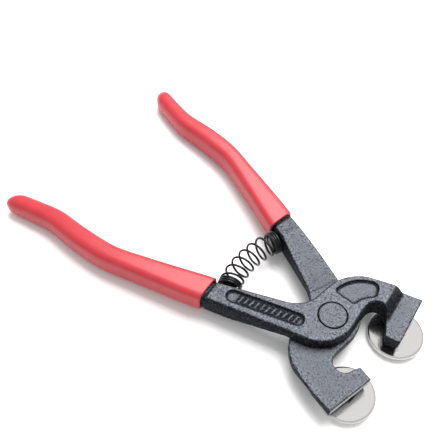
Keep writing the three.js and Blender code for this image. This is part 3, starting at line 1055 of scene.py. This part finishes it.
class BuildStage(bpy.types.Operator):
    """Builds the tilted paper floor, the lamps, the white surround and the camera"""

    bl_idname = "nippers.stage"
    bl_label = "Stage"

    def execute(self, context):
        scene = context.scene
        settings = scene.nippers_stage
        # The floor meets the frame's base under the bevel of the wheels' rear edges, and rises towards the
        # grips until it is just short of the lowest of them.
        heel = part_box("cutter_wheel_upper")[0].x + WHEEL_BEVEL * MM
        skins = [bpy.data.objects["grip_" + word + "_dipped"].data for word, _ in SIDES]
        grips = np.vstack([positions(skin) for skin in skins])
        clearance = 0.1 * MM
        tilt = ((grips[:, 2] - clearance) / (heel - grips[:, 0]))[grips[:, 0] < 0].min()
        half = FLOOR_HALF
        left, right = (heel + half) * tilt, (heel - half) * tilt
        corners = np.array([[(-half, y, left), (half, y, right)] for y in (-half, half)])
        floor = grid_object("paper_floor", corners, wrap=False)
        material, tree = new_material("matt_paper")
        shader = add_node(
            tree, "ShaderNodeBsdfPrincipled", {"Base Color": linear(settings.floor), "Roughness": 0.9}
        )
        finish_material(tree, shader)
        floor.data.materials.append(material)

        world = bpy.data.worlds.new("white_studio")
        world.use_nodes = True
        world.node_tree.nodes.clear()
        glow = add_node(
            world.node_tree,
            "ShaderNodeBackground",
            {"Color": (1.0, 1.0, 1.0, 1.0), "Strength": settings.surround},
        )
        add_node(world.node_tree, "ShaderNodeOutputWorld", {"Surface": glow.outputs[0]})
        scene.world = world
        scene.view_settings.view_transform = "Standard"

        # The softbox lights all but the wheels, and the dim card lights the wheels alone.
        softbox = aimed_lamp("softbox", settings.softbox_side, settings.softbox_power, SOFTBOX_AT)
        card = aimed_lamp("card", CARD_SIDE, settings.card_power, CARD_AT)
        for lit, state in ((softbox, "EXCLUDE"), (card, "INCLUDE")):
            receivers = bpy.data.collections.new(lit.name + "_receivers")
            for word, _ in SIDES:
                receivers.objects.link(bpy.data.objects["cutter_wheel_" + word + "_ground"])
            for entry in receivers.collection_objects:
                entry.light_linking.link_state = state
            lit.light_linking.receiver_collection = receivers

        lens = bpy.data.cameras.new("camera")
        lens.lens = settings.lens
        lens.clip_start = 0.01
        camera = bpy.data.objects.new("camera", lens)
        camera.location = CAMERA_FROM
        aim = (CAMERA_TO - CAMERA_FROM).to_track_quat("-Z", "Y")
        camera.rotation_mode = "QUATERNION"
        camera.rotation_quaternion = aim @ Quaternion((0, 0, 1), CAMERA_ROLL)
        scene.collection.objects.link(camera)
        scene.camera = camera
        return {"FINISHED"}


class NippersPanel(bpy.types.Panel):
    """Lists the operators with their settings"""

    bl_idname = "VIEW3D_PT_nippers"
    bl_label = "Glass nippers"
    bl_space_type = "VIEW_3D"
    bl_region_type = "UI"
    bl_category = "Nippers"

    def draw(self, context):
        for operator, settings in BUILDS:
            box = self.layout.box()
            box.operator(operator.bl_idname)
            group = getattr(context.scene, settings)
            for name in group.__annotations__:
                box.prop(group, name)


SETTINGS = {
    "nippers_levers": LeverSettings,
    "nippers_rivet": RivetSettings,
    "nippers_wheels": WheelSettings,
    "nippers_screws": ScrewSettings,
    "nippers_grips": GripSettings,
    "nippers_spring": SpringSettings,
    "nippers_stage": StageSettings,
}

BUILDS = (
    (BuildLevers, "nippers_levers"),
    (BuildRivet, "nippers_rivet"),
    (BuildWheels, "nippers_wheels"),
    (BuildScrews, "nippers_screws"),
    (BuildGrips, "nippers_grips"),
    (BuildSpring, "nippers_spring"),
    (BuildStage, "nippers_stage"),
)

CLASSES = (*SETTINGS.values(), *(operator for operator, _ in BUILDS), NippersPanel)


def register():
    """Registers the classes and hangs the settings on the scene."""
    for made in CLASSES:
        bpy.utils.register_class(made)
    for name, group in SETTINGS.items():
        setattr(bpy.types.Scene, name, bpy.props.PointerProperty(type=group))


def unregister():
    """Takes the settings and the classes away again."""
    for name in SETTINGS:
        delattr(bpy.types.Scene, name)
    for made in reversed(CLASSES):
        bpy.utils.unregister_class(made)


def main():
    """Builds every piece and the stage."""
    register()
    for operator, _ in BUILDS:
        category, name = operator.bl_idname.split(".")
        getattr(getattr(bpy.ops, category), name)()


if __name__ == "__main__":
    main()
